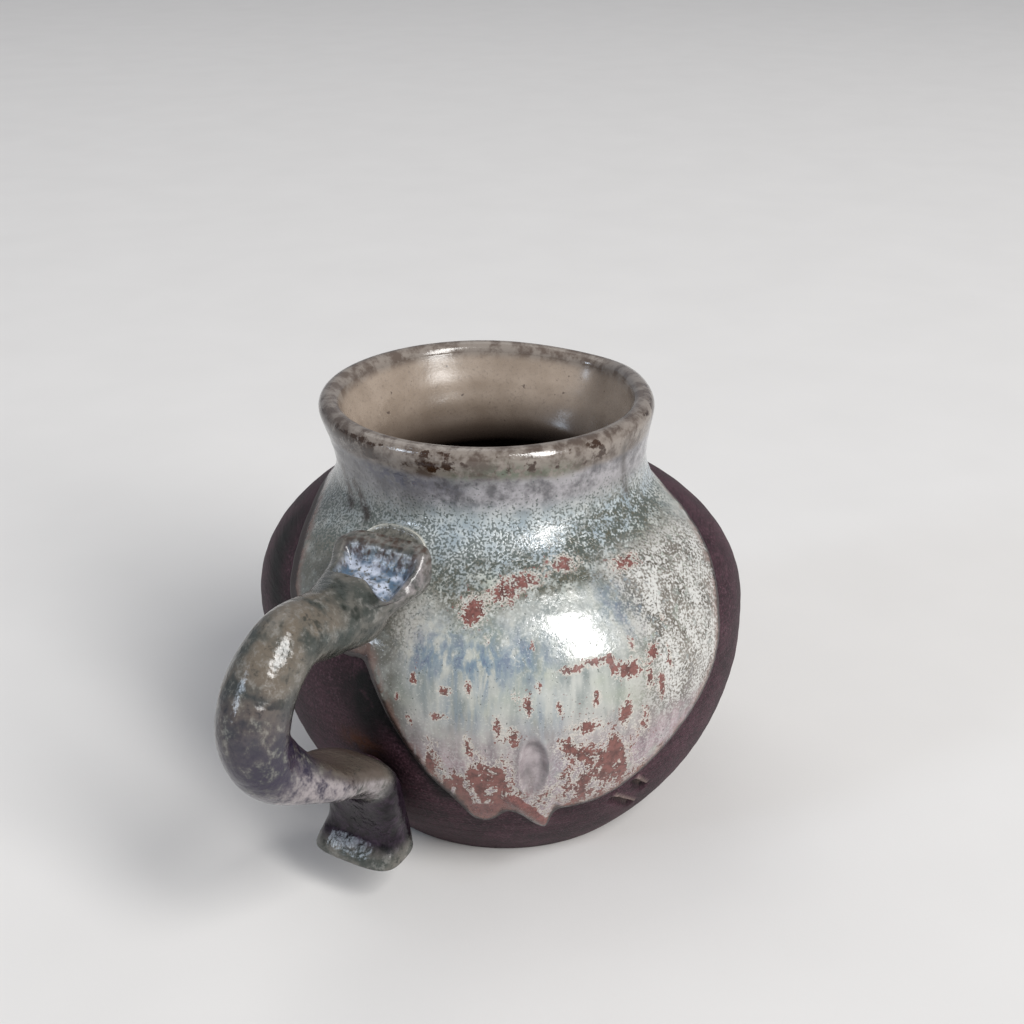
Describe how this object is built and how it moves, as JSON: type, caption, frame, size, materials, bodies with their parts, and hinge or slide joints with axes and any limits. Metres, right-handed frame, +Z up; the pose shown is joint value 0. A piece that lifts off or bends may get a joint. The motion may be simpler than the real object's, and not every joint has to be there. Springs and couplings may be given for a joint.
{
  "type": "milk jug",
  "caption": "Small hand-thrown stoneware milk jug with a round belly, short neck, pulled pouring lip and an S-shaped coil handle, dipped in pale speckled glaze over bare clay.",
  "frame": {"origin": "centre of the flat base on which the jug stands", "axes": "+Z up out of the mouth, the handle toward -X and the pouring lip toward +X"},
  "size_m": [0.1467, 0.1064, 0.0931],
  "materials": {
    "clay": "bare purple-brown stoneware, satin with fine grain",
    "luting_clay": "soft clay pressed on by thumb, thinly glazed over",
    "liner_glaze": "glossy beige-grey with fine dark speckle",
    "neck_glaze": "glossy grey-blue with iron-brown spots",
    "belly_glaze": "glossy pale green-grey, breaking to red-brown and lavender where it runs thin",
    "handle_glaze": "glossy mottled grey-green with dark spots"
  },
  "bodies": {
    "root": {"thrown_body": "clay", "handle": "clay", "root_clay_collar": "luting_clay", "bend_clay_pad": "luting_clay", "liner_glaze": "liner_glaze", "neck_glaze": "neck_glaze", "front_belly_glaze": "belly_glaze", "back_belly_glaze": "belly_glaze", "handle_glaze": "handle_glaze"}
  },
  "joints": []
}
